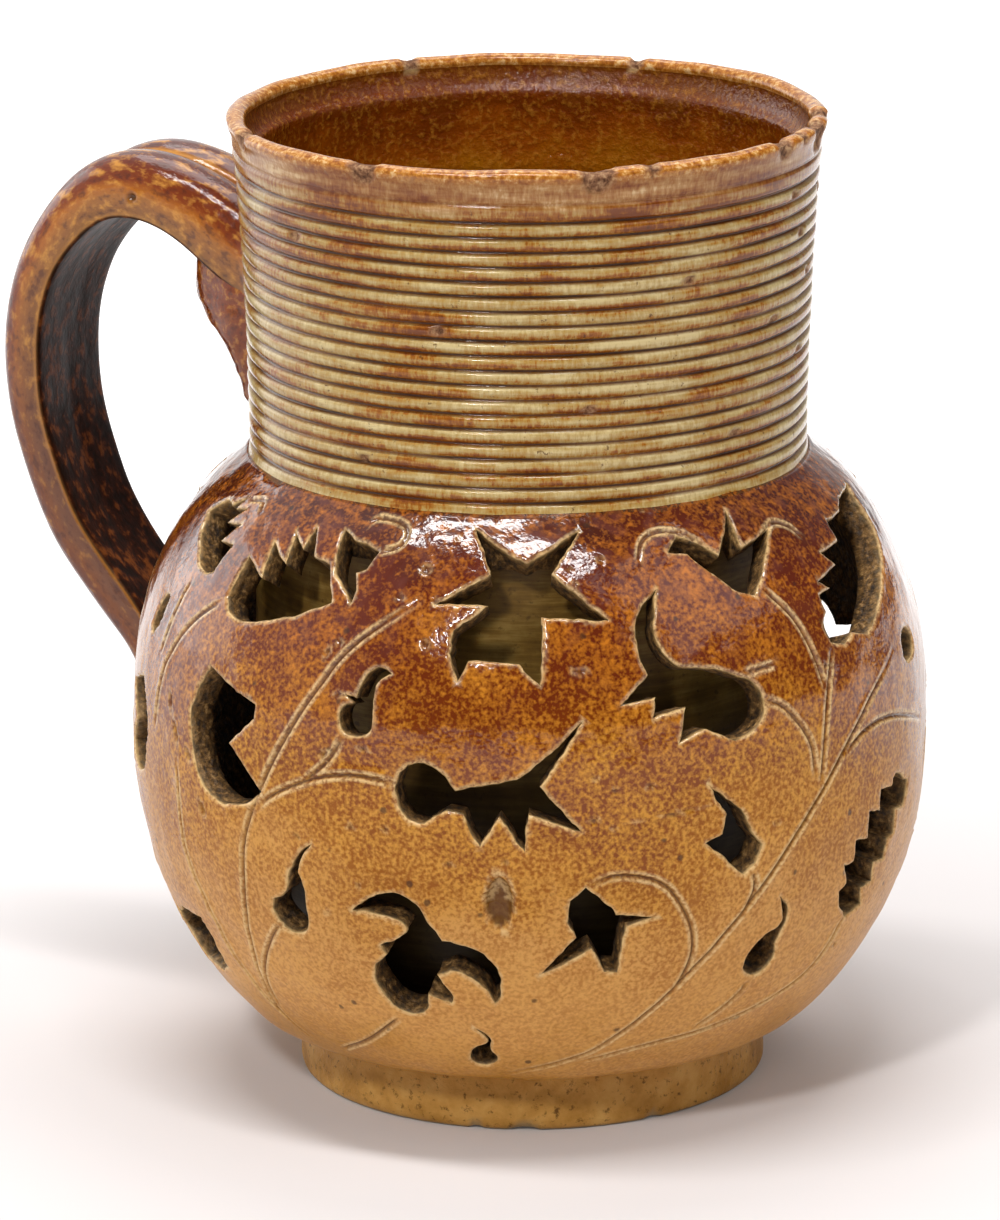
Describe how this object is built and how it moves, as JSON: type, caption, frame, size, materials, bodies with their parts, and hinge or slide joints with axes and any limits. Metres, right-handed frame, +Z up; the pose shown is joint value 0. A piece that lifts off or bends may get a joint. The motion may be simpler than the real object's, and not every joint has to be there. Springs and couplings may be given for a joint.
{
  "type": "double-walled pierced jug",
  "caption": "Small round-bellied stoneware jug: a plain drinking vessel with a reeded neck and flared lip inside an outer wall pierced with flowers and leaves, on a low foot, with one strap handle",
  "frame": {"origin": "centre of the foot's flat underside, on the jug's axis", "axes": "+Z up along the jug's axis, the handle points along -X, and +Y completes a right-handed frame"},
  "size_m": [0.1063, 0.085, 0.105],
  "materials": {
    "foot_body": "dry olive-buff stoneware, thinly salt glazed",
    "brown_glaze": "mottled brown salt glaze",
    "buff_glaze": "buff salt glaze with brown flecks",
    "dark_glaze": "dark red-brown salt glaze"
  },
  "bodies": {
    "root": {"foot": "foot_body", "pierced_wall": "brown_glaze", "drinking_vessel": "buff_glaze", "handle": "dark_glaze", "handle_wad": "dark_glaze"}
  },
  "joints": []
}
